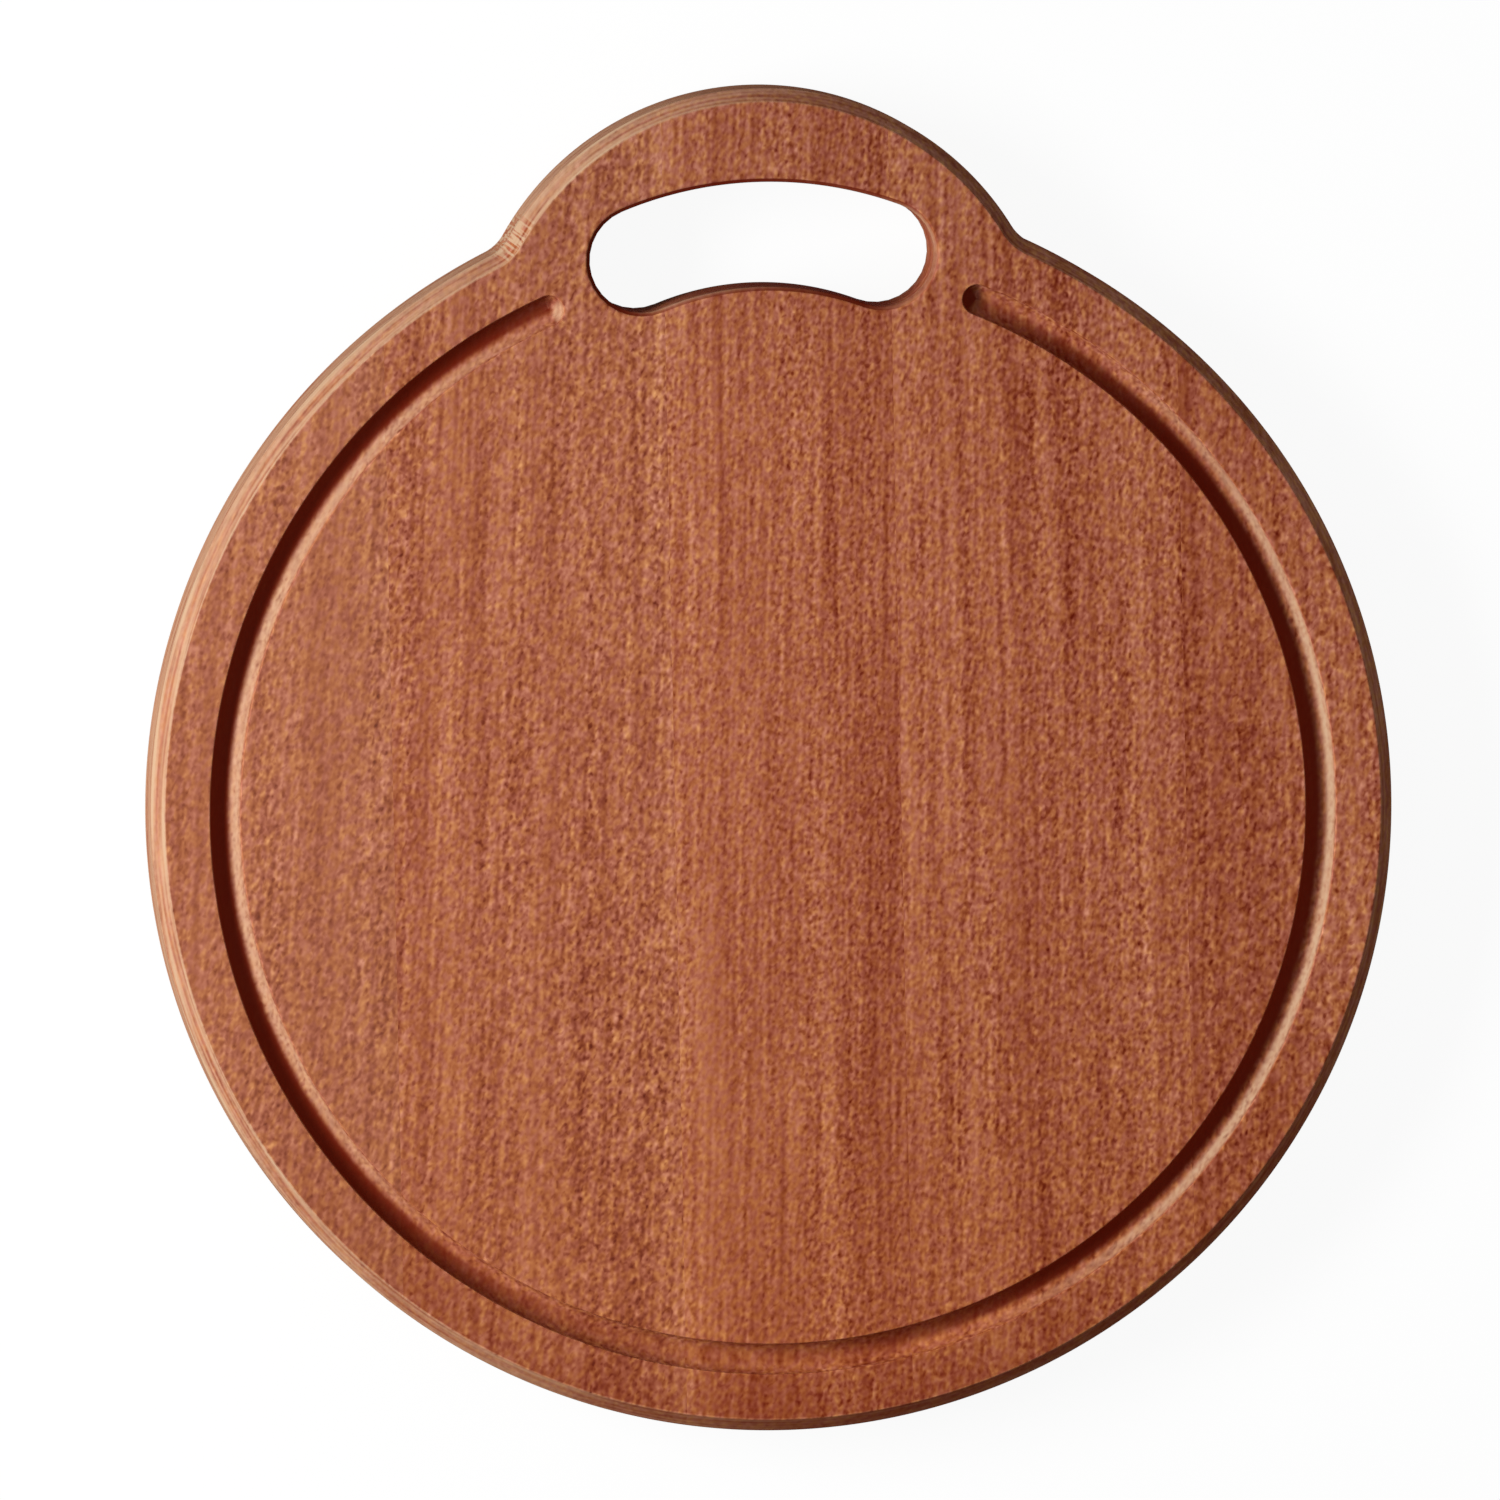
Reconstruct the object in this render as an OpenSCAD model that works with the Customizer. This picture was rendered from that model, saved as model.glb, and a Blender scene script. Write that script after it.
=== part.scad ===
// Round wooden chopping board: a disc with a round handle lobe, made as a panel of
// long-grain staves glued edge to edge, then cut to its outline.
// It lies flat. The centre of the disc, on the underside, is the origin.
// +Z is up out of the cutting face and +Y runs along the grain to the handle.

/* [Board] */
// Diameter of the round cutting area
disc_d = 340; // [300:1:400]
// Thickness of the board
thickness = 25; // [18:0.5:40]
// Diameter of the handle lobe
lobe_d = 160; // [140:1:180]
// Distance from the centre of the disc to the centre of the lobe
lobe_rise = 117; // [110:1:125]
// Radius of the hollow curve where the lobe meets the disc
neck_r = 12; // [6:1:30]

/* [Edges] */
// Width of the bevel round the cutting face, seen from above
bevel_w = 3.4; // [1:0.1:6]
// Height of the bevel, down the side wall
bevel_h = 5.5; // [1:0.1:8]
// Size of the small bevel round the underside
foot_bevel = 1; // [0.4:0.1:2]

/* [Juice groove] */
// Radius of the middle line of the groove
groove_r = 150; // [135:0.5:155]
// Width of the groove at the cutting face
groove_w = 8.4; // [6:0.1:12]
// Depth of the groove
groove_depth = 4; // [2:0.1:4]
// Angle from the handle line to the centre of each groove end
groove_gap = 23; // [21:0.5:40]

/* [Finger slot] */
// Overall length of the slot, from end to end
slot_len = 94.4; // [86:0.1:104]
// Width of the slot
slot_w = 28.6; // [24:0.1:32]
// Radius of the slot's middle line, which arches towards the handle's tip
slot_arch_r = 90; // [70:1:140]
// Distance from the centre of the disc to the middle of the slot
slot_rise = 157.3; // [150:0.1:162]
// Size of the eased edge round the slot, on both faces
slot_ease = 1.2; // [0.4:0.1:2]

/* [Staves] */
// Width of the centre stave
centre_w = 62; // [40:1:70]
// How far the centre stave lies to the right of the handle line
centre_shift = 4; // [-5:1:5]
// Width of the stave to the left of the centre one
inner_left_w = 77; // [60:1:90]
// Width of the stave to the right of the centre one
inner_right_w = 78; // [60:1:90]

/* [Hidden] */
$fn = 180;

disc_r = disc_d / 2;
lobe_r = lobe_d / 2;
past = 1;

// Joint planes between the staves, from left to right
joint_b = centre_shift - centre_w / 2;
joint_c = centre_shift + centre_w / 2;
joint_a = joint_b - inner_left_w;
joint_d = joint_c + inner_right_w;
left_end = -disc_r - past;
right_end = disc_r + past;
near_end = -disc_r - past;
far_end = lobe_rise + lobe_r + past;

// Centre of the hollow neck curve, tangent to the disc and to the lobe
neck_to_disc = disc_r + neck_r;
neck_to_lobe = lobe_r + neck_r;
neck_y = (neck_to_disc * neck_to_disc - neck_to_lobe * neck_to_lobe + lobe_rise * lobe_rise) / (2 * lobe_rise);
neck_x = sqrt(neck_to_disc * neck_to_disc - neck_y * neck_y);

// Round-nosed cutter that leaves the groove's width and depth
groove_cut_r = (groove_w * groove_w / 4 + groove_depth * groove_depth) / (2 * groove_depth);
groove_cut_z = thickness - groove_depth + groove_cut_r;

// Slot: an arch band with round ends
slot_half_w = slot_w / 2;
slot_flare = slot_ease + past;
slot_centre_y = slot_rise - slot_arch_r;
slot_swing = asin((slot_len / 2 - slot_half_w) / slot_arch_r);

// Solid of revolution with the board's edge: straight wall, bevels above and below
module edged_disc(r) {
    rotate_extrude()
        polygon([
            [0, 0],
            [r - foot_bevel, 0],
            [r, foot_bevel],
            [r, thickness - bevel_h],
            [r - bevel_w, thickness],
            [0, thickness]
        ]);
}

// What the edge profile leaves outside a hollow curve of radius r
module hollow_edge(r) {
    rotate_extrude()
        polygon([
            [0, -past],
            [r + foot_bevel + past, -past],
            [r, foot_bevel],
            [r, thickness - bevel_h],
            [r + bevel_w + bevel_w / bevel_h * past, thickness + past],
            [0, thickness + past]
        ]);
}

// Filled neck on one side, between the disc and the lobe
module neck(side) {
    difference() {
        linear_extrude(thickness)
            polygon([[0, 0], [side * neck_x, neck_y], [0, lobe_rise]]);
        translate([side * neck_x, neck_y, 0])
            hollow_edge(neck_r);
    }
}

module blank() {
    union() {
        edged_disc(disc_r);
        translate([0, lobe_rise, 0])
            edged_disc(lobe_r);
        neck(-1);
        neck(1);
    }
}

// Juice groove: an open ring that stops with round ends short of the handle
module groove() {
    rotate([0, 0, 90 + groove_gap])
        rotate_extrude(angle = 360 - 2 * groove_gap)
            translate([groove_r, groove_cut_z])
                circle(groove_cut_r);
    for (side = [-1, 1])
        rotate([0, 0, 90 + side * groove_gap])
            translate([groove_r, 0, groove_cut_z])
                sphere(groove_cut_r);
}

// Cross-section of the slot: straight walls, flared to ease both edges
module slot_section() {
    polygon([
        [-slot_half_w - slot_flare, thickness + past],
        [slot_half_w + slot_flare, thickness + past],
        [slot_half_w, thickness - slot_ease],
        [slot_half_w, slot_ease],
        [slot_half_w + slot_flare, -past],
        [-slot_half_w - slot_flare, -past],
        [-slot_half_w, slot_ease],
        [-slot_half_w, thickness - slot_ease]
    ]);
}

module slot_end() {
    rotate_extrude()
        polygon([
            [0, thickness + past],
            [slot_half_w + slot_flare, thickness + past],
            [slot_half_w, thickness - slot_ease],
            [slot_half_w, slot_ease],
            [slot_half_w + slot_flare, -past],
            [0, -past]
        ]);
}

module slot() {
    translate([0, slot_centre_y, 0]) {
        rotate([0, 0, 90 - slot_swing])
            rotate_extrude(angle = 2 * slot_swing)
                translate([slot_arch_r, 0])
                    slot_section();
        for (side = [-1, 1])
            rotate([0, 0, 90 + side * slot_swing])
                translate([slot_arch_r, 0, 0])
                    slot_end();
    }
}

module board() {
    difference() {
        blank();
        groove();
        slot();
    }
}

// The part of the board between two joint planes and two distances along the grain
module stave(x_from, x_to, y_from, y_to) {
    intersection() {
        board();
        translate([x_from, y_from, -past])
            cube([x_to - x_from, y_to - y_from, thickness + 2 * past]);
    }
}

module outer_left_stave() {
    color("#a5603f")
        stave(left_end, joint_a, near_end, far_end);
}

module inner_left_stave() {
    color("#9e5438")
        stave(joint_a, joint_b, near_end, far_end);
}

// The slot cuts the centre stave right through: this is the long piece below it
module centre_stave() {
    color("#a25a3c")
        stave(joint_b, joint_c, near_end, slot_rise);
}

// The short piece of the centre stave above the slot, in the grip
module centre_stave_grip() {
    color("#a25a3c")
        stave(joint_b, joint_c, slot_rise, far_end);
}

module inner_right_stave() {
    color("#97502f")
        stave(joint_c, joint_d, near_end, far_end);
}

module outer_right_stave() {
    color("#9c5636")
        stave(joint_d, right_end, near_end, far_end);
}

outer_left_stave();
inner_left_stave();
centre_stave();
centre_stave_grip();
inner_right_stave();
outer_right_stave();
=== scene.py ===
# A round chopping board with a handle lobe, glued up from staves.
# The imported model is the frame. One finely made board mesh is cut into the six staves here,
# so that bevel, groove and slot run on from stave to stave, as on a board that is cut after gluing.
import math

import bmesh
import bpy
from mathutils import Matrix, Vector
from mathutils.geometry import delaunay_2d_cdt


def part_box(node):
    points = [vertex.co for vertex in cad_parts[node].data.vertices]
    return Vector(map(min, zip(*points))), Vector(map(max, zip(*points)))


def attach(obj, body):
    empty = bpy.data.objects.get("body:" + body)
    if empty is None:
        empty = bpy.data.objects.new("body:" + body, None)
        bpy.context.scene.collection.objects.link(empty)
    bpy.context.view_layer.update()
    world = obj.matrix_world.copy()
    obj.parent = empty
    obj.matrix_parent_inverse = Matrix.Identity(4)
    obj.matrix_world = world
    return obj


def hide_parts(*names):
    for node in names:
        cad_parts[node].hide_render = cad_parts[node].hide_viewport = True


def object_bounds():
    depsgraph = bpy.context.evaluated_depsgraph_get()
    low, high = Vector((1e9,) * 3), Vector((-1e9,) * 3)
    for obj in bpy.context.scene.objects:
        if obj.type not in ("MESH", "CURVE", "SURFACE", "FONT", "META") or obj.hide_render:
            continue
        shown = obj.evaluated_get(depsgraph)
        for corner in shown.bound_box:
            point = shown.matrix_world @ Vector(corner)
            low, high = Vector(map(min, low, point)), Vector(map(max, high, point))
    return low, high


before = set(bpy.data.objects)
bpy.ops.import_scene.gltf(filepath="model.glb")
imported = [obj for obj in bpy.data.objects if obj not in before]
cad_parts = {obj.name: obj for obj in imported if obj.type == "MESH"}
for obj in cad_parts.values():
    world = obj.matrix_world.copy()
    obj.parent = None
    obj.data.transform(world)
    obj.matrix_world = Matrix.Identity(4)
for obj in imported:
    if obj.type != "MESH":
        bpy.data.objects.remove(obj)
cadLow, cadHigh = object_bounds()
mm = 0.001
print("frame: loaded", len(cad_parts), "nodes")


# Outline, edges and openings of the board

board = {
    "shy": 0.03 * mm,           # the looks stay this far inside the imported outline
    "lobeRadius": 80 * mm,
    "neckRadius": 12 * mm,
    "outlineStep": 0.6,         # degrees between two points of the disc and of the lobe
    "neckStep": 1.2,
    "capStep": 12,              # and round the ends of groove and slot
    "fewestSteps": 4,           # an arc has at least so many
    "cornerSteps": 6,           # pieces of a rounded corner
    "sameSpot": 1e-7,           # points nearer to each other than this are one
}

rim = {
    "bevelWidth": 3.4 * mm,
    "bevelHeight": 5.5 * mm,
    "footBevel": 1.0 * mm,
    "innerRound": 0.7 * mm,     # radius of the sanded arris between face and bevel
    "outerRound": 1.4 * mm,     # and between bevel and wall
    "footRound": 0.5 * mm,
    "flat": 1.2 * mm,           # flat strip beside the last arris, which keeps the shading clean
    "handSanding": 0.22,        # how much the arrises vary along the rim
    "sandingWaves": [(3, 0.7, 0.6), (8, 2, 0.4)],   # waves round the board, where they start, share
    "wallRows": 5,
}

groove = {
    "radius": 150 * mm,
    "halfWidth": 4.2 * mm,
    "depth": 4.0 * mm,
    "gapAngle": 23,             # degrees from the handle line to each end
    "edgeRound": 0.25 * mm,
    "flat": 0.5 * mm,
    "step": 0.5,                # degrees between two points along it
    "edgeSteps": 5,
    "rows": 14,
    "weld": 0.01 * mm,          # joins both halves along the lowest line
}

slot = {
    "length": 94.4 * mm,
    "width": 28.6 * mm,
    "archRadius": 90 * mm,
    "rise": 157.3 * mm,
    "ease": 1.2 * mm,
    "edgeRound": 0.8 * mm,
    "flat": 1.2 * mm,
    "step": 0.7,
    "wallRows": 4,
}

handleAngle = 90
thickness = cadHigh.z
discRadius = -cadLow.y - board["shy"]
lobeRadius = board["lobeRadius"] - board["shy"]
lobeRise = cadHigh.y - board["lobeRadius"]


def polar(centre, radius, degrees):
    angle = math.radians(degrees)
    return Vector((centre[0] + radius * math.cos(angle), centre[1] + radius * math.sin(angle)))


def arcStations(centre, radius, start, end, step, outward=1):
    # Points along an arc, each with the flat direction that leads away from its centre
    count = max(board["fewestSteps"], round(abs(end - start) / step))
    stations = []
    for i in range(count):
        degrees = start + (end - start) * i / count
        away = polar((0, 0), outward, degrees)
        stations.append((polar(centre, radius, degrees), away))
    return stations


def outlineStations():
    # Disc, neck, lobe and neck, anticlockwise; each direction points into the wood
    neckRadius, neckStep, step = board["neckRadius"], board["neckStep"], board["outlineStep"]
    reach = discRadius + neckRadius
    lobeReach = lobeRadius + neckRadius
    neckY = (reach ** 2 - lobeReach ** 2 + lobeRise ** 2) / (2 * lobeRise)
    neckX = math.sqrt(reach ** 2 - neckY ** 2)
    discEnd = math.degrees(math.atan2(neckY, neckX))
    lobeEnd = math.degrees(math.atan2(neckY - lobeRise, neckX))
    stations = arcStations((0, 0), discRadius, 180 - discEnd, 360 + discEnd, step, -1)
    stations += arcStations((neckX, neckY), neckRadius, 180 + discEnd, 180 + lobeEnd, neckStep)
    stations += arcStations((0, lobeRise), lobeRadius, lobeEnd, 180 - lobeEnd, step, -1)
    stations += arcStations((-neckX, neckY), neckRadius, -lobeEnd, -discEnd, neckStep)
    return stations


def bandStations(centre, radius, start, end, step):
    # All round an arc-shaped band with round ends; each direction points out of the band
    outer = arcStations(centre, radius, start, end, step)
    inner = [(place, -away) for place, away in arcStations(centre, radius, end, start, step)]
    caps = []
    for at, first in ((end, end), (start, start + 180)):
        place = polar(centre, radius, at)
        caps.append([(place, polar((0, 0), 1, first + turn)) for turn in range(0, 180, board["capStep"])])
    return outer + caps[0] + inner + caps[1]


def rounded(corners, radii):
    # A profile with its inner corners rounded; a corner is (distance, height)
    steps = board["cornerSteps"]
    points = [Vector(corners[0])]
    for before, corner, after, radius in zip(corners, corners[1:], corners[2:], radii):
        corner = Vector(corner)
        back = (Vector(before) - corner).normalized()
        ahead = (Vector(after) - corner).normalized()
        half = back.angle(ahead) / 2
        centre = corner + (back + ahead).normalized() * radius / math.sin(half)
        first = corner + back * radius / math.tan(half) - centre
        last = corner + ahead * radius / math.tan(half) - centre
        for i in range(steps + 1):
            points.append(centre + first.slerp(last, i / steps).normalized() * radius)
    points.append(Vector(corners[-1]))
    return points


def withRows(points, longest):
    # Splits long straight stretches of a profile
    out = [points[0]]
    for before, after in zip(points, points[1:]):
        pieces = max(1, math.ceil((after - before).length / longest))
        out += [before.lerp(after, (i + 1) / pieces) for i in range(pieces)]
    return out


# A profile gives points as (distance along the station's direction, height) at one place of a route.
# Only the rim's changes from place to place.

def rimProfile(place):
    # From the underside, up the wall and over the bevel to the face
    angle = math.atan2(place.y, place.x)
    waves = sum(share * math.sin(count * angle + start) for count, start, share in rim["sandingWaves"])
    sanding = 1 + rim["handSanding"] * waves
    foot, width, height, flat = rim["footBevel"], rim["bevelWidth"], rim["bevelHeight"], rim["flat"]
    corners = [
        (foot + flat, 0),
        (foot, 0),
        (0, foot),
        (0, thickness - height),
        (width, thickness),
        (width + flat, thickness),
    ]
    radii = [rim["footRound"], rim["footRound"], rim["outerRound"] * sanding, rim["innerRound"] * sanding]
    return withRows(rounded(corners, radii), (thickness - height) / rim["wallRows"])


def grooveProfile(place):
    # From the face, over the eased edge and down the round nose to its lowest line
    half, depth, ease = groove["halfWidth"], groove["depth"], groove["edgeRound"]
    nose = (half ** 2 + depth ** 2) / (2 * depth)
    noseHeight = thickness - depth + nose
    edgeHeight = thickness - ease
    edgeAway = math.sqrt((nose + ease) ** 2 - (noseHeight - edgeHeight) ** 2)
    meet = math.atan2(noseHeight - edgeHeight, -edgeAway)
    points = [Vector((edgeAway + groove["flat"], thickness))]
    for i in range(groove["edgeSteps"] + 1):
        angle = math.pi / 2 + (meet - math.pi / 2) * i / groove["edgeSteps"]
        points.append(Vector((edgeAway + ease * math.cos(angle), edgeHeight + ease * math.sin(angle))))
    start = meet - math.pi
    for i in range(1, groove["rows"] + 1):
        angle = start + (-math.pi / 2 - start) * i / groove["rows"]
        points.append(Vector((nose * math.cos(angle), noseHeight + nose * math.sin(angle))))
    points[-1].x = 0
    return points


def slotProfile(place):
    # From the face, down the wall to the underside, with both edges eased
    half, ease, flat = slot["width"] / 2, slot["ease"], slot["flat"]
    corners = [
        (half + ease + flat, thickness),
        (half + ease, thickness),
        (half, thickness - ease),
        (half, ease),
        (half + ease, 0),
        (half + ease + flat, 0),
    ]
    radii = [slot["edgeRound"]] * (len(corners) - 2)
    return withRows(rounded(corners, radii), thickness / slot["wallRows"])


# Marks on the mesh: cut flanks, the share of wear with painted highlight, the share of oil with painted shade,
# and shaded flanks, whose tone is lightened as painted light.
# A pair of numbers says where a share starts to rise and where it is full.

markNames = ["flank", "wear_and_painted_highlight", "oil_and_painted_shade", "shade"]
litFrom = Vector((0.99, -0.14))     # a flank is lit most when the way into its wood points like this
oiledEnd = Vector((-0.15, -0.99))   # the way from the disc's centre to the most oiled part of the face

rimFinish = {
    "light": (-0.35, 1),
    "outerArris": 1.0,          # painted highlight on the lit side, as shares: on worn arrises, then on cut faces
    "innerArris": 0.72,
    "bevel": 0.31,
    "wall": 0.56,
    "arrisReach": 0.65 * mm,    # how far the wear and painted highlight spread from an arris
    "outerSpread": 1.6,         # and how many times as far from the outer one
    "innerShift": 0.25,         # the inner wear and highlight lie off its arris by this share of the reach
    "shadedArris": 0.1,         # what the shaded side keeps of the worn arris
    "oil_and_painted_shade": 0.42,               # painted shade on a shaded flank, and how much more of it at the near rim
    "nearExtraShade": 0.7,
    "faceGap": 0.2 * mm,        # a flank ends this far below the face
}

oil = {
    "oil_and_painted_shade": 0.35,               # oil that gathered on the face outside the groove, away from the handle
    "spread": (0.55, 0.95),
    "besideGroove": 0.5,        # what is left of it on the groove's eased edge
}

grooveFinish = {
    "flank": 0.25,              # the groove keeps more of the flecks than a flank
    "turn": 2,                  # how soon a side is a lit or a shaded one as the groove turns
    "deepen": 3,                # the marks are full at the depth divided by this
    "skew": 0.12,               # the light reaches further into the groove away from the window
    "wear_and_painted_highlight": 0.75,               # painted highlight on the lit side, which drops again at its upper edge
    "litSide": (0.2, 0.62),     # over half the groove's width
    "upperEdge": (0.8, 1),
    "edgeLoss": 0.4,
    "litStretch": (0.4, 0.98),  # by how squarely it faces the light
    "oil_and_painted_shade": 0.26,               # painted shade on the rest, and how much more of it across the light
    "acrossExtraShade": 0.71,
    "shadeEnds": (-0.05, 0.4),
    "shadedStretch": (0.1, 0.7),
}

slotFinish = {
    "light": (-0.3, 0.9),
    "edge": 0.4,                # painted highlight on the lit edges
    "edgeReach": 0.8 * mm,
    "oil_and_painted_shade": 0.3,                # painted shade on the wall, and how much more of it in the shade
    "shadedRich": 0.65,
    "faceGap": 0.2 * mm,
}


def sweep(mesh, stations, profile, marksAt):
    # A column of points at each station, joined to the next column by quads
    columns = []
    for place, away in stations:
        column = []
        for distance, height in profile(place):
            at = place + away * distance
            vertex = mesh.verts.new((at.x, at.y, height))
            for layer, value in zip(markNames, marksAt(place, away, distance, height)):
                vertex[mesh.verts.layers.float[layer]] = value
            column.append(vertex)
        columns.append(column)
    for column, following in zip(columns, columns[1:] + columns[:1]):
        for i in range(len(column) - 1):
            mesh.faces.new((column[i], following[i], following[i + 1], column[i + 1]))
    return columns


def nearness(value, centre, reach):
    # 1 at the centre, falling smoothly to 0 at that reach
    away = min(1.0, abs(value - centre) / reach)
    return (1 - away * away) ** 2


def rising(value, low, high):
    # 0 up to low, 1 from high on, smooth between them
    share = min(1.0, max(0.0, (value - low) / (high - low)))
    return share * share * (3 - 2 * share)


def oiled(place, away, height):
    # On the face between the groove and the rim only
    outside = place.dot(away) > 0 or place.length > groove["radius"] + groove["halfWidth"]
    if height < thickness or not outside:
        return 0
    return oil["oil_and_painted_shade"] * rising(place.normalized().dot(oiledEnd), *oil["spread"])


def rimMarks(place, away, distance, height):
    # Painted highlight on the lit flank and its arrises, over a little real wear, and painted shade on the
    # shaded flank
    finish = rimFinish
    light = rising(away.dot(litFrom), *finish["light"])
    reach = finish["arrisReach"]
    breakHeight = thickness - rim["bevelHeight"]
    onBevel = rising(height, breakHeight - reach, breakHeight)
    outer = inner = 0
    if distance < rim["bevelWidth"] / 2:
        outer = nearness(height, breakHeight, reach * finish["outerSpread"])
    if height > thickness / 2:
        inner = nearness(distance, rim["bevelWidth"] - reach * finish["innerShift"], reach)
    wearAndHighlight = max(outer * finish["outerArris"], inner * finish["innerArris"])
    wearAndHighlight *= finish["shadedArris"] + (1 - finish["shadedArris"]) * light
    side = 1.0 if rim["footBevel"] / 2 < height < thickness - finish["faceGap"] else 0.0
    cut = finish["wall"] + (finish["bevel"] - finish["wall"]) * onBevel
    oil_and_painted_shade = side * (1 - light) * finish["oil_and_painted_shade"] * (1 + finish["nearExtraShade"] * away.y)
    return side, max(wearAndHighlight, side * cut * light), max(oil_and_painted_shade, oiled(place, away, height)), side * (1 - light)


def grooveMarks(place, away, distance, height):
    # Painted highlight on the side that faces the window, and painted shade on the rest
    finish = grooveFinish
    facing = away.dot(litFrom)
    deep = (thickness - height) / groove["depth"]
    across = max(-1, min(1, finish["turn"] * facing)) * distance / groove["halfWidth"]
    skew = finish["skew"] * place.x / groove["radius"]
    below = min(1, deep * finish["deepen"])
    wear_and_painted_highlight = below * rising(across - skew / 2, *finish["litSide"])
    wear_and_painted_highlight *= 1 - finish["edgeLoss"] * rising(across, *finish["upperEdge"])
    wear_and_painted_highlight *= (finish["wear_and_painted_highlight"] + skew) * rising(abs(facing), *finish["litStretch"])
    shaded = 1 - rising(across + skew, *finish["shadeEnds"])
    more = finish["acrossExtraShade"] * rising(abs(facing), *finish["shadedStretch"])
    oil_and_painted_shade = below * shaded * (finish["oil_and_painted_shade"] + more)
    oily = oiled(place, away, height) * oil["besideGroove"]
    return min(finish["flank"], deep), wear_and_painted_highlight, max(oil_and_painted_shade, oily), 0


def slotMarks(place, away, distance, height):
    # Painted highlight on the lit eased edges, and painted shade on the walls, more on the shaded ones
    finish = slotFinish
    middle = thickness / 2
    light = rising(away.dot(litFrom), *finish["light"])
    edge = nearness(abs(height - middle), middle - slot["ease"], finish["edgeReach"])
    inside = 1.0 if abs(height - middle) < middle - finish["faceGap"] else 0.0
    oil_and_painted_shade = finish["oil_and_painted_shade"] + finish["shadedRich"] * (1 - light)
    return inside, edge * light * finish["edge"], inside * oil_and_painted_shade, 0


def sidesOf(triangle):
    i, j, k = triangle
    return frozenset((i, j)), frozenset((j, k)), frozenset((k, i))


def fillFlat(mesh, loops):
    # Triangles between loops that lie in one plane, spreading from the disc's centre up to the loops
    verts = [vertex for loop in loops for vertex in loop]
    edges = []
    for loop in loops:
        first = len(edges)
        edges += [(first + i, first + (i + 1) % len(loop)) for i in range(len(loop))]
    flat = [vertex.co.xy for vertex in verts]
    points, _, triangles, sources, _, _ = delaunay_2d_cdt(flat, edges, [], 0, board["sameSpot"])
    middles = [(points[i] + points[j] + points[k]).length for i, j, k in triangles]
    walls = {frozenset(edge) for edge in edges}
    corners = [[sources[i][0] for i in triangle] for triangle in triangles]
    neighbours = {}
    for number, triangle in enumerate(corners):
        for side in sidesOf(triangle):
            neighbours.setdefault(side, []).append(number)
    waiting = [middles.index(min(middles))]
    filled = set(waiting)
    while waiting:
        triangle = corners[waiting.pop()]
        mesh.faces.new([verts[i] for i in triangle])
        for side in sidesOf(triangle):
            beyond = [n for n in neighbours[side] if n not in filled and side not in walls]
            filled.update(beyond)
            waiting += beyond


def makeBoard():
    mesh = bmesh.new()
    for name in markNames:
        mesh.verts.layers.float.new(name)
    start, end = handleAngle + groove["gapAngle"], handleAngle + 360 - groove["gapAngle"]
    grooveRoute = bandStations((0, 0), groove["radius"], start, end, groove["step"])
    archCentre = (0, slot["rise"] - slot["archRadius"])
    swing = math.degrees(math.asin((slot["length"] - slot["width"]) / 2 / slot["archRadius"]))
    start, end = handleAngle - swing, handleAngle + swing
    slotRoute = bandStations(archCentre, slot["archRadius"], start, end, slot["step"])
    rimColumns = sweep(mesh, outlineStations(), rimProfile, rimMarks)
    grooveColumns = sweep(mesh, grooveRoute, grooveProfile, grooveMarks)
    slotColumns = sweep(mesh, slotRoute, slotProfile, slotMarks)
    fillFlat(mesh, [[c[-1] for c in rimColumns], [c[0] for c in grooveColumns], [c[0] for c in slotColumns]])
    fillFlat(mesh, [[c[0] for c in rimColumns], [c[-1] for c in slotColumns]])
    bmesh.ops.remove_doubles(mesh, verts=[c[-1] for c in grooveColumns], dist=groove["weld"])
    bmesh.ops.recalc_face_normals(mesh, faces=mesh.faces)
    for face in mesh.faces:
        face.smooth = True
    return mesh


def cutAway(mesh, point, normal):
    # Cuts the mesh at a plane, drops what lies along the normal and closes the cut with flat faces
    geometry = mesh.verts[:] + mesh.edges[:] + mesh.faces[:]
    plane = {"dist": board["sameSpot"], "plane_co": point, "plane_no": normal}
    bmesh.ops.bisect_plane(mesh, geom=geometry, clear_outer=True, **plane)
    border = [edge for edge in mesh.edges if edge.is_boundary]
    closed = bmesh.ops.holes_fill(mesh, edges=border, sides=0)["faces"]
    for edge in border:
        edge.smooth = False
    for face in closed:
        face.smooth = False


boardMesh = makeBoard()
openEdges = sum(1 for edge in boardMesh.edges if not edge.is_manifold)
print("board mesh:", len(boardMesh.faces), "faces,", openEdges, "open edges")


# Wood

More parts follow.
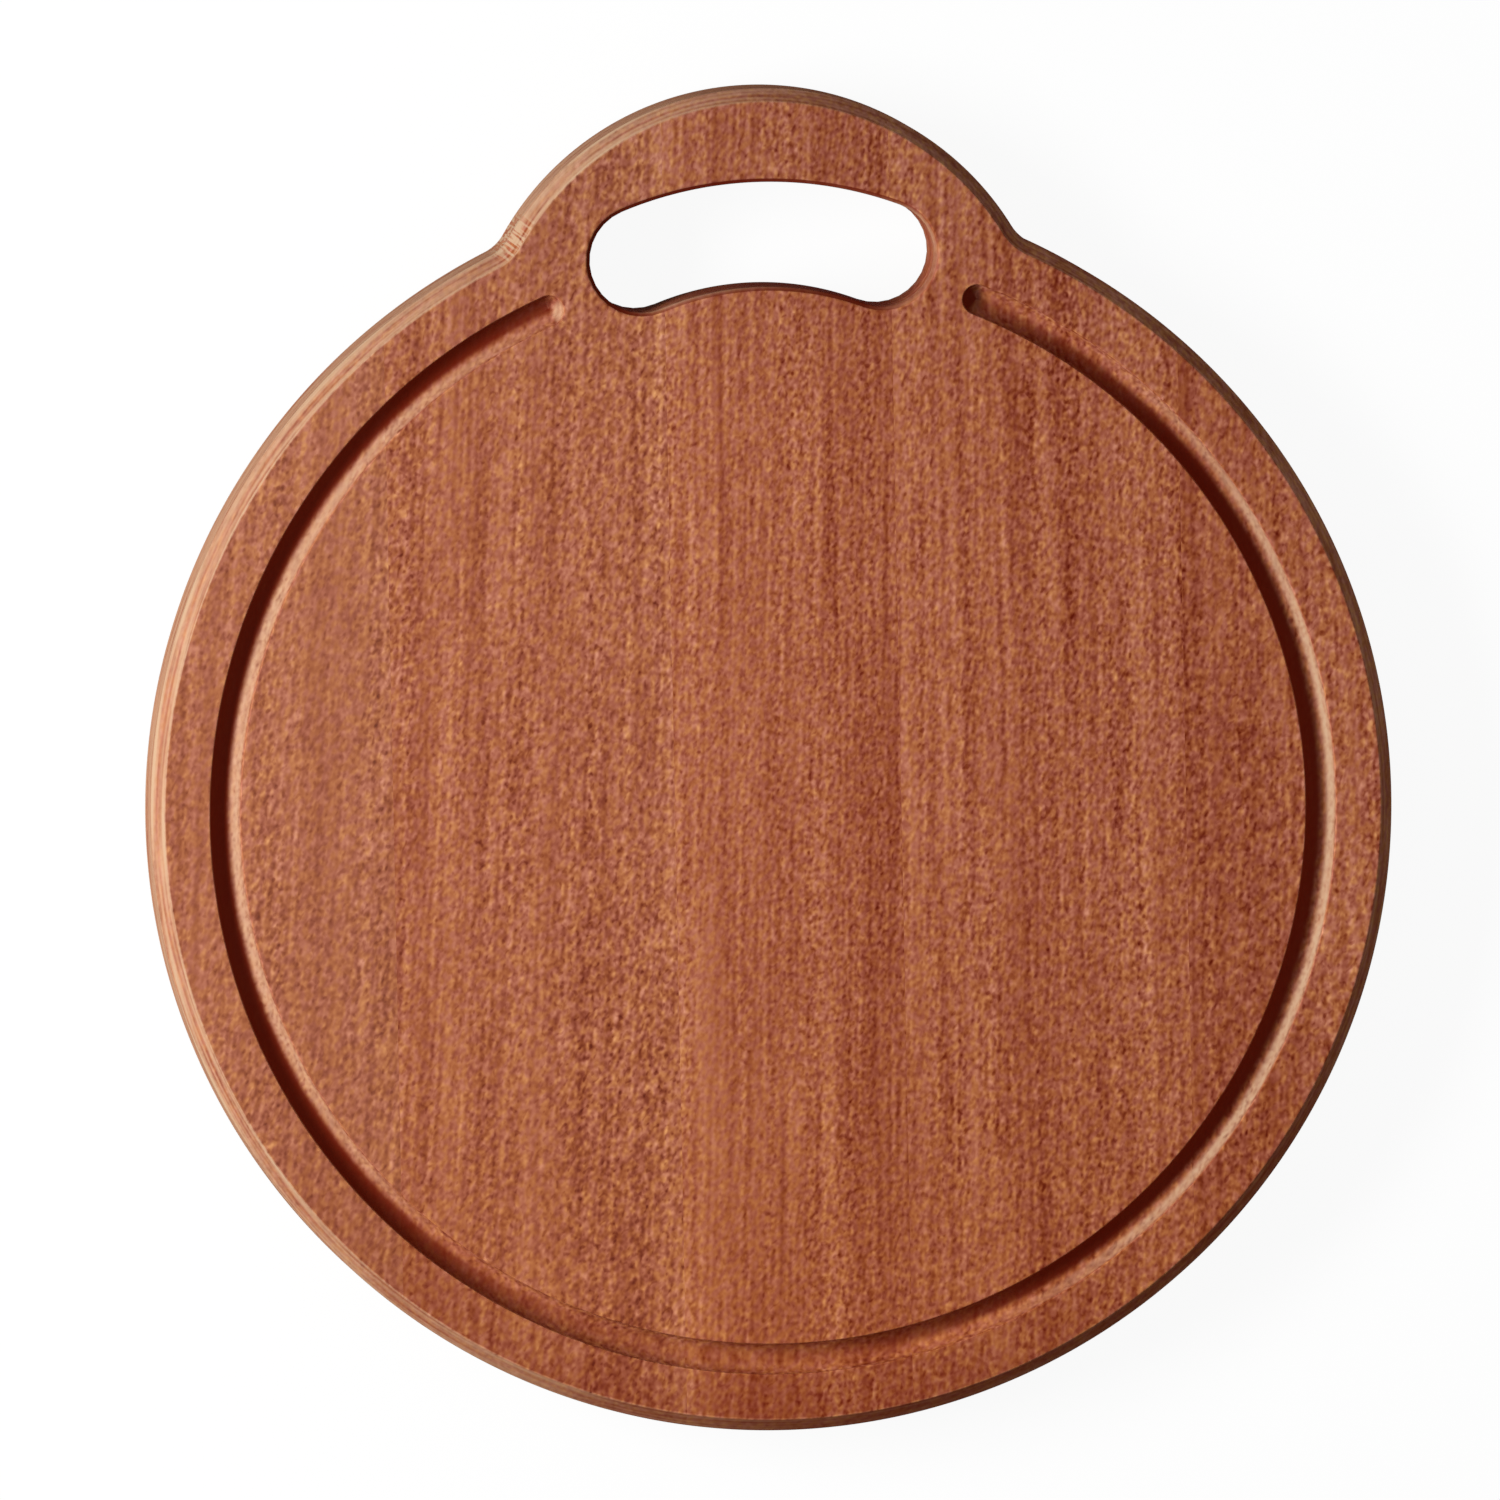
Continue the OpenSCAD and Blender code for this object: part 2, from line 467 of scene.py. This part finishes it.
wood = {
    "fan": 3.3,                 # the grain lines meet this far from the disc's centre, past the handle
    "wander": 1.0 * mm,         # how far a grain line strays sideways
    "dark": (97, 22, 4),
    "middle": (170, 95, 65),
    "light": (239, 169, 124),
    "toneSteps": 4,             # stops of the ramp on each side of the middle
    "wear_and_painted_highlight": (193, 158, 127),    # colour of worn arrises and cut flanks, and of the painted highlight and painted sheen on lit places
    "oil_and_painted_shade": (109, 26, 6),       # colour of oil on the face, and of the painted shade in hollows and on shaded flanks
    "rosy": (0.97, 0.94, 1.18),
    "golden": (1.02, 1.04, 0.82),
    "hueSplit": (-0.4, 0.4),    # noise that goes from rosy to golden
    # Tints along the grain, from the near rim to the handle's tip, in millimetres
    "lengthTints": [
        (-170, (1, 0.94, 0.8)),
        (-110, (0.95, 0.9, 0.79)),
        (-50, (0.98, 0.97, 0.94)),
        (0, (1, 1, 1)),
        (110, (0.98, 1, 1)),
        (165, (0.87, 0.9, 0.94)),
        (197, (0.87, 0.9, 0.94)),
    ],
    "pores": 0.15,              # how much darker the open pores are
    "poreSplit": (0.2, 0.5),    # noise that goes from closed wood to a pore
    "flankFlecks": 0.35,        # what is left of the flecks on a cut flank
    "shadeTone": 0.2,           # painted light: how much lighter the tone is made on a shaded flank
    "sanding": 0.24,            # fine lines along the rim, in tone and in paleness
    "sandingPale": 1.1,
    "flecksPale": 1.6,          # how far the flecks break up the pale places
    "roughness": 0.38,
    "flankRoughness": 0.95,
    "fleckPolish": 0.1,         # light flecks are that much smoother
    "gloss": 0.05,
    "relief": 0.2,              # strength and depth of the bump that the flecks make
    "reliefDepth": 0.1 * mm,
}

# Cells of the grain: millimetres across, along and through it, then degrees turned and strength
grain = {
    "broad": [(45, 800, 60, 0, 0.02), (14, 500, 20, 0, 0.012), (4.5, 400, 6, 0, 0.018)],
    "lines": [(2.2, 300, 2.4, 0, 0.1), (1.4, 80, 1.5, 2, 0.17), (1.3, 9, 1.4, 6, 0.11)],
    "flecks": [(1.15, 1.6, 1.3, 38, 0.26), (0.95, 2.3, 1.1, 14, 0.21), (0.8, 1.1, 0.9, -32, 0.10)],
    "mottle": [(16, 200, 30, 0, 0.35), (3, 90, 3, 0, 0.4)],
    "pores": (1.05, 1.7, 1.1, 24),
    "hue": (1.6, 2.6, 1.6, 20),
    "drift": (50, 120, 50, 0),
    "sanding": (30, 30, 0.9, 0),
}

# Seeds of the noises that run on from stave to stave, and what the others add to a stave's own seed
seeds = {
    "drift": 0.3,
    "mottle": 4.4,
    "sanding": 8.1,
    "chatter": 2.6,
    "lines": 10,
    "flecks": 20,
    "pores": 30,
    "hue": 40,
    "layerStep": 1.7,
    "axisShifts": (7.31, 3.17, 5.73),
}


def linear(colour, alpha=1.0):
    # From screen values of 0 to 255 to the linear ones that a shader takes
    parts = []
    for value in colour:
        value /= 255
        parts.append(value / 12.92 if value <= 0.04045 else ((value + 0.055) / 1.055) ** 2.4)
    return (*parts, alpha)


def emptyTree(owner):
    # The node tree of a material or world, with nothing in it
    owner.use_nodes = True
    owner.node_tree.nodes.clear()
    return owner.node_tree


def feed(tree, socket, value):
    # Links a socket to another or sets its value
    if isinstance(value, bpy.types.NodeSocket):
        tree.links.new(value, socket)
    else:
        socket.default_value = value


def add(tree, kind, inputs=None, **settings):
    made = tree.nodes.new("ShaderNode" + kind)
    for key, value in settings.items():
        setattr(made, key, value)
    for key, value in (inputs or {}).items():
        feed(tree, made.inputs[key], value)
    return made


def calc(tree, operation, *values, clamp=False):
    return add(tree, "Math", dict(enumerate(values)), operation=operation, use_clamp=clamp).outputs[0]


def between(tree, value, low, high):
    # 0 below low, 1 above high, smooth between them
    limits = {"Value": value, "From Min": low, "From Max": high}
    return add(tree, "MapRange", limits, interpolation_type="SMOOTHSTEP").outputs["Result"]


def mixed(tree, share, first, second, blend="MIX"):
    made = add(tree, "Mix", {"Factor": share}, data_type="RGBA", blend_type=blend)
    # The node has sockets of its own for colours
    colourInputs, colourOutput = made.inputs[6:8], made.outputs[2]
    for socket, value in zip(colourInputs, (first, second)):
        feed(tree, socket, value)
    return colourOutput


def mark(tree, name):
    return add(tree, "Attribute", attribute_name=name).outputs["Fac"]


def cellNoise(tree, place, cell, seed):
    # Signed noise in cells of so many millimetres across, along and through the grain, turned
    across, along, through = place
    *sizes, turn = cell
    if turn:
        cosine, sine = math.cos(math.radians(turn)), math.sin(math.radians(turn))
        swung = calc(tree, "MULTIPLY_ADD", along, -sine, calc(tree, "MULTIPLY", across, cosine))
        along = calc(tree, "MULTIPLY_ADD", along, cosine, calc(tree, "MULTIPLY", across, sine))
        across = swung
    at = add(tree, "CombineXYZ", {
        axis: calc(tree, "MULTIPLY_ADD", value, 1 / (size * mm), seed * shift)
        for axis, value, size, shift in zip("XYZ", (across, along, through), sizes, seeds["axisShifts"])
    }).outputs[0]
    noise = add(tree, "TexNoise", {"Vector": at, "Scale": 1.0, "Detail": 0.0})
    return calc(tree, "MULTIPLY_ADD", noise.outputs["Fac"], 2.0, -1.0)


def layered(tree, place, layers, seed):
    total = 0.0
    for number, (*cell, strength) in enumerate(layers):
        noise = cellNoise(tree, place, cell, seed + seeds["layerStep"] * number)
        total = calc(tree, "MULTIPLY_ADD", noise, strength, total)
    return total


def colourBands(tree, value, bands, interpolation="LINEAR"):
    # Colours that change along a length, from stops of (millimetres, colour)
    first, last = bands[0][0], bands[-1][0]
    place = calc(tree, "MULTIPLY_ADD", value, 1 / ((last - first) * mm), -first / (last - first))
    ramp = add(tree, "ValToRGB", {"Fac": place})
    ramp.color_ramp.interpolation = interpolation
    stops = ramp.color_ramp.elements
    while len(stops) < len(bands):
        stops.new(0.5)
    for stop, (millimetres, colour) in zip(stops, bands):
        stop.position = (millimetres - first) / (last - first)
        stop.color = (*colour, 1)
    return ramp.outputs["Color"]


def figured(tree, across, figure):
    # A value that changes across the board and lasts along it, from stops of (millimetres, value)
    greys = [(millimetres, [(1 + value) / 2] * 3) for millimetres, value in figure]
    return calc(tree, "MULTIPLY_ADD", colourBands(tree, across, greys, "EASE"), 2.0, -1.0)


def toneRamp(tree, tone):
    # From dark over middle to light, in steps that look even
    ramp = add(tree, "ValToRGB", {"Fac": tone})
    stops = ramp.color_ramp.elements
    half = wood["toneSteps"]
    stops[0].color = linear(wood["dark"])
    stops[1].color = linear(wood["light"])
    for step in range(1, 2 * half):
        start, end = (wood["dark"], wood["middle"]) if step < half else (wood["middle"], wood["light"])
        share = step / half if step < half else step / half - 1
        blend = [a + (b - a) * share for a, b in zip(start, end)]
        stops.new(step / (2 * half)).color = linear(blend)
    return ramp.outputs["Color"]


def grainPlace(tree, plain):
    # Distances across, along and through grain that fans out a little and wanders
    x, y, z = plain
    fan = calc(tree, "SUBTRACT", 1.0, calc(tree, "DIVIDE", y, wood["fan"]))
    straight = calc(tree, "DIVIDE", x, fan)
    drift = cellNoise(tree, (straight, y, z), grain["drift"], seeds["drift"])
    return calc(tree, "MULTIPLY_ADD", drift, wood["wander"], straight), y, z


def fleckPattern(tree, place, look):
    # Short flecks and open pores that come and go
    strength = figured(tree, place[0], look["flecks"])
    strength = calc(tree, "ADD", strength, layered(tree, place, grain["mottle"], seeds["mottle"]))
    noise = cellNoise(tree, place, grain["pores"], look["seed"] + seeds["pores"])
    pores = between(tree, noise, *wood["poreSplit"])
    flecks = layered(tree, place, grain["flecks"], look["seed"] + seeds["flecks"])
    flecks = calc(tree, "MULTIPLY_ADD", pores, -wood["pores"], flecks)
    return calc(tree, "MULTIPLY", flecks, strength)


def woodTone(tree, place, look, flecks, sanding):
    # From broad bands down to fine lines and flecks, then sanding lines, and painted light that lightens
    # shaded flanks
    tone = calc(tree, "ADD", figured(tree, place[0], look["figure"]), 0.5)
    tone = calc(tree, "ADD", tone, layered(tree, place, grain["broad"], look["seed"]))
    lines = layered(tree, place, grain["lines"], look["seed"] + seeds["lines"])
    tone = calc(tree, "MULTIPLY_ADD", lines, look["lines"], tone)
    tone = calc(tree, "ADD", tone, flecks)
    tone = calc(tree, "MULTIPLY_ADD", sanding, wood["sanding"], tone)
    return calc(tree, "MULTIPLY_ADD", mark(tree, "shade"), wood["shadeTone"], tone)


def woodColour(tree, place, look, tone):
    # The tone's colour with a rosy or golden tint, with oil on the face and painted shade in hollows and on
    # shaded flanks
    noise = cellNoise(tree, place, grain["hue"], look["seed"] + seeds["hue"])
    hue = between(tree, noise, *wood["hueSplit"])
    tint = mixed(tree, hue, (*wood["rosy"], 1), (*wood["golden"], 1))
    colour = mixed(tree, 1.0, toneRamp(tree, tone), tint, "MULTIPLY")
    colour = mixed(tree, 1.0, colour, colourBands(tree, place[1], wood["lengthTints"]), "MULTIPLY")
    return mixed(tree, mark(tree, "oil_and_painted_shade"), colour, linear(wood["oil_and_painted_shade"]))


def paleShare(tree, plain, look, flecks, sanding):
    # Worn arrises and cut flanks with the painted highlight of the lit side, broken up by flecks and sanding,
    # and a stave's painted sheen
    paleMark = mark(tree, "wear_and_painted_highlight")
    broken = calc(tree, "MULTIPLY", flecks, wood["flecksPale"])
    broken = calc(tree, "MULTIPLY_ADD", sanding, wood["sandingPale"], broken)
    wearAndHighlight = calc(tree, "MULTIPLY_ADD", broken, paleMark, paleMark)
    paintedSheen = calc(tree, "MULTIPLY_ADD", mark(tree, "oil_and_painted_shade"), -look["painted_sheen"], look["painted_sheen"])
    wear_and_painted_highlight = calc(tree, "MAXIMUM", wearAndHighlight, paintedSheen)
    if "chatter" in look:
        wear_and_painted_highlight = calc(tree, "ADD", wear_and_painted_highlight, chatterMarks(tree, plain, look["chatter"]), clamp=True)
    return wear_and_painted_highlight


def chatterMarks(tree, plain, chatter):
    # Pale strokes, and redder gaps, that the cutter left across the bevel round one spot
    aside = calc(tree, "SUBTRACT", plain[0], chatter["spot"][0])
    beyond = calc(tree, "SUBTRACT", plain[1], chatter["spot"][1])
    square = calc(tree, "MULTIPLY_ADD", aside, aside, calc(tree, "MULTIPLY", beyond, beyond))
    near = between(tree, calc(tree, "SQRT", square), chatter["reach"], chatter["core"])
    noise = cellNoise(tree, plain, chatter["cell"], seeds["chatter"])
    strokes = between(tree, noise, *chatter["strokeSplit"])
    strokes = calc(tree, "MULTIPLY_ADD", strokes, chatter["paler"], -chatter["redder"])
    return calc(tree, "MULTIPLY", strokes, calc(tree, "MULTIPLY", near, mark(tree, "flank")))


def staveWood(name, look):
    made = bpy.data.materials.new(name)
    tree = emptyTree(made)
    plain = add(tree, "SeparateXYZ", {0: add(tree, "TexCoord").outputs["Object"]}).outputs
    place = grainPlace(tree, plain)
    flank = mark(tree, "flank")
    flecks = fleckPattern(tree, place, look)
    bare = calc(tree, "MULTIPLY_ADD", flank, wood["flankFlecks"] - 1, 1.0)
    kept = calc(tree, "MULTIPLY", flecks, bare)
    sanding = calc(tree, "MULTIPLY", cellNoise(tree, plain, grain["sanding"], seeds["sanding"]), flank)
    colour = woodColour(tree, place, look, woodTone(tree, place, look, kept, sanding))
    wear_and_painted_highlight = paleShare(tree, plain, look, kept, sanding)
    bump = add(tree, "Bump", {"Height": flecks, "Strength": wood["relief"], "Distance": wood["reliefDepth"]})
    polish = calc(tree, "MULTIPLY_ADD", flank, wood["flankRoughness"] - wood["roughness"], wood["roughness"])
    shader = add(tree, "BsdfPrincipled", {
        "Base Color": mixed(tree, wear_and_painted_highlight, colour, linear(wood["wear_and_painted_highlight"])),
        "Roughness": calc(tree, "MULTIPLY_ADD", flecks, -wood["fleckPolish"], polish),
        "Specular IOR Level": wood["gloss"],
        "Normal": bump.outputs[0],
    })
    add(tree, "OutputMaterial", {"Surface": shader.outputs[0]})
    return made


# Each stave's look: its seed, how much painted sheen pales it, the strength of its fine lines,
# stops across the board in millimetres with the strength of its flecks, and stops with its tone

staves = {
    "outer_left_stave": {
        "seed": 1.0,
        "painted_sheen": 0.1,
        "lines": 0.8,
        "flecks": [(-170, 0.75), (-120, 0.8), (-104, 0.85)],
        "figure": [(-170, 0.01), (-150, 0.01), (-135, 0.02), (-120, 0.02), (-104, 0.03)],
    },
    "inner_left_stave": {
        "seed": 2.0,
        "painted_sheen": 0.04,
        "lines": 0.9,
        "flecks": [(-104, 0.85), (-70, 0.85), (-55, 1.05), (-27, 1.0)],
        "figure": [(-104, 0.02), (-100, -0.01), (-94, 0.03), (-84, 0.01), (-80, 0), (-72, 0.045),
                   (-67, 0.015), (-56, 0.02), (-48, -0.01), (-40, 0), (-33, 0.03), (-27, 0.1)],
        "chatter": {
            "spot": (-67 * mm, 157 * mm),
            "reach": 9 * mm,
            "core": 3 * mm,
            "cell": (0.75, 7, 7, -52),
            "strokeSplit": (-0.1, 0.35),
            "paler": 1.0,
            "redder": 0.4,
        },
    },
    "centre_stave": {
        "seed": 3.0,
        "painted_sheen": 0.0,
        "lines": 0.95,
        "flecks": [(-27, 0.75), (4, 0.75), (12, 0.9), (35, 0.95)],
        "figure": [(-27, 0.12), (-20, 0.09), (-14, 0.02), (-8, 0.03), (0, 0.01), (8, 0.02), (13, 0.04),
                   (17, -0.03), (21, -0.02), (25, -0.045), (29, -0.05), (35, -0.01)],
    },
    "inner_right_stave": {
        "seed": 4.0,
        "painted_sheen": 0.0,
        "lines": 0.9,
        "flecks": [(35, 0.85), (70, 0.85), (85, 1.0), (113, 1.0)],
        "figure": [(35, 0.05), (40, 0.09), (45, 0.01), (54, 0.05), (60, 0.04), (64, 0.02), (70, -0.03),
                   (75, -0.02), (80, 0.03), (87, -0.045), (92, 0), (102, 0.04), (108, 0.02), (113, -0.02)],
    },
    "outer_right_stave": {
        "seed": 5.0,
        "painted_sheen": 0.0,
        "lines": 0.85,
        "flecks": [(113, 0.9), (170, 0.9)],
        "figure": [(113, -0.05), (119, -0.04), (127, -0.04), (134, -0.04), (142, 0), (152, 0.06), (170, 0.08)],
    },
}
# The slot cuts the centre stave in two, so its short piece in the grip has the same wood
staves["centre_stave_grip"] = staves["centre_stave"]


def placed(name, data):
    made = bpy.data.objects.new(name, data)
    bpy.context.scene.collection.objects.link(made)
    return made


def keepPart(mesh, wanted):
    dropped = [vertex for vertex in mesh.verts if not wanted(vertex)]
    bmesh.ops.delete(mesh, geom=dropped, context="VERTS")


def makeStave(name, look):
    # The outer staves have one joint and the others two, at the sides of their packed box
    low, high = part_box(name)
    mesh = boardMesh.copy()
    if low.x > cadLow.x + mm:
        cutAway(mesh, (low.x, 0, 0), (-1, 0, 0))
    if high.x < cadHigh.x - mm:
        cutAway(mesh, (high.x, 0, 0), (1, 0, 0))
    if name == "centre_stave_grip":
        keepPart(mesh, lambda vertex: vertex.co.y > slot["rise"])
    if name == "centre_stave":
        keepPart(mesh, lambda vertex: vertex.co.y < slot["rise"])
    data = bpy.data.meshes.new(name + "_wood")
    mesh.to_mesh(data)
    mesh.free()
    stave = placed(name + "_wood", data)
    data.materials.append(staveWood(name + "_grain", look))
    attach(stave, "root")
    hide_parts(name)


for name, look in staves.items():
    makeStave(name, look)
boardMesh.free()
print("staves:", len(staves), "cut and finished")


# Floor, light and camera

white = (1, 1, 1, 1)

studio = {
    "floorSize": 8.0,
    "floorDrop": 0.3 * mm,       # the floor lies this far below the underside
    "floorColour": (0.07, 0.07, 0.07, 1),
    "floorGlow": 0.93,           # how bright the floor looks apart from the light on it
    "skyFill": 0.28,             # what the sky, white to the camera, gives as light
    "windowWidth": 1.2,
    "windowHeight": 0.45,
    "windowDistance": 1.9,
    "windowElevation": 33,
    "windowAzimuth": 173,        # degrees anticlockwise from +X
    "windowPower": 45.7,
}


def seenDirectly(tree):
    path = add(tree, "LightPath")
    seen = calc(tree, "MAXIMUM", path.outputs["Is Camera Ray"], path.outputs["Is Glossy Ray"])
    return calc(tree, "MAXIMUM", seen, path.outputs["Is Transmission Ray"])


def makeFloor():
    half, height = studio["floorSize"] / 2, -studio["floorDrop"]
    corners = [(x * half, y * half, height) for x, y in ((-1, -1), (1, -1), (1, 1), (-1, 1))]
    data = bpy.data.meshes.new("floor")
    data.from_pydata(corners, [], [(0, 1, 2, 3)])
    floor = placed("floor", data)
    paint = bpy.data.materials.new("floor_paint")
    tree = emptyTree(paint)
    matt = add(tree, "BsdfDiffuse", {"Color": studio["floorColour"]})
    strength = calc(tree, "MULTIPLY", seenDirectly(tree), studio["floorGlow"])
    glow = add(tree, "Emission", {"Color": white, "Strength": strength})
    both = add(tree, "AddShader", {0: matt.outputs[0], 1: glow.outputs[0]})
    add(tree, "OutputMaterial", {"Surface": both.outputs[0]})
    data.materials.append(paint)


def makeSky():
    world = bpy.data.worlds.new("studio_sky")
    bpy.context.scene.world = world
    tree = emptyTree(world)
    strength = calc(tree, "MULTIPLY_ADD", seenDirectly(tree), 1 - studio["skyFill"], studio["skyFill"])
    back = add(tree, "Background", {"Color": white, "Strength": strength})
    add(tree, "OutputWorld", {"Surface": back.outputs[0]})


def axesAt(place, right, up, back):
    # A frame that stands at a place and looks against its third axis
    return Matrix.Translation(place) @ Matrix((right, up, back)).transposed().to_4x4()


def makeWindow():
    # Low light from the left, wide along the board and narrow in height
    data = bpy.data.lights.new("window_light", "AREA")
    data.shape = "RECTANGLE"
    data.size = studio["windowWidth"]
    data.size_y = studio["windowHeight"]
    data.energy = studio["windowPower"]
    window = placed("window_light", data)
    elevation, azimuth = math.radians(studio["windowElevation"]), math.radians(studio["windowAzimuth"])
    towards = Vector((math.cos(azimuth), math.sin(azimuth), math.tan(elevation))).normalized()
    across = Vector((-math.sin(azimuth), math.cos(azimuth), 0))
    place = Vector((0, 0, thickness)) + towards * studio["windowDistance"]
    window.matrix_world = axesAt(place, across, towards.cross(across), towards)


view = {
    "pictureSize": 1500,
    "discAt": (773.7, 810.6),    # the picture's pixel at the centre of the disc's face
    "scale": 0.2726 * mm,        # a picture pixel on the board
    "distance": 14.0,
    "lean": (-0.092, 0.070),     # sideways steps towards the camera for one step up
    "roll": 1.15,                # degrees that the board turns anticlockwise in the picture
    "sensor": 36,
    "clip": (0.1, 50),
}


def makeCamera():
    data = bpy.data.cameras.new("camera")
    camera = placed("camera", data)
    back = Vector((*view["lean"], 1)).normalized()
    up = (Vector((0, 1, 0)) - back * back.y).normalized()
    up.rotate(Matrix.Rotation(math.radians(-view["roll"]), 3, back))
    right = up.cross(back)
    half = view["pictureSize"] / 2
    across, down = [(pixel - half) * view["scale"] for pixel in view["discAt"]]
    target = Vector((0, 0, thickness)) - right * across + up * down
    camera.matrix_world = axesAt(target + back * view["distance"], right, up, back)
    data.sensor_width = view["sensor"]
    data.lens = view["sensor"] * view["distance"] / (view["pictureSize"] * view["scale"])
    data.clip_start, data.clip_end = view["clip"]
    bpy.context.scene.camera = camera


makeFloor()
makeSky()
makeWindow()
makeCamera()
bpy.context.scene.view_settings.view_transform = "Standard"
print("studio: floor, sky, window light and camera in place")
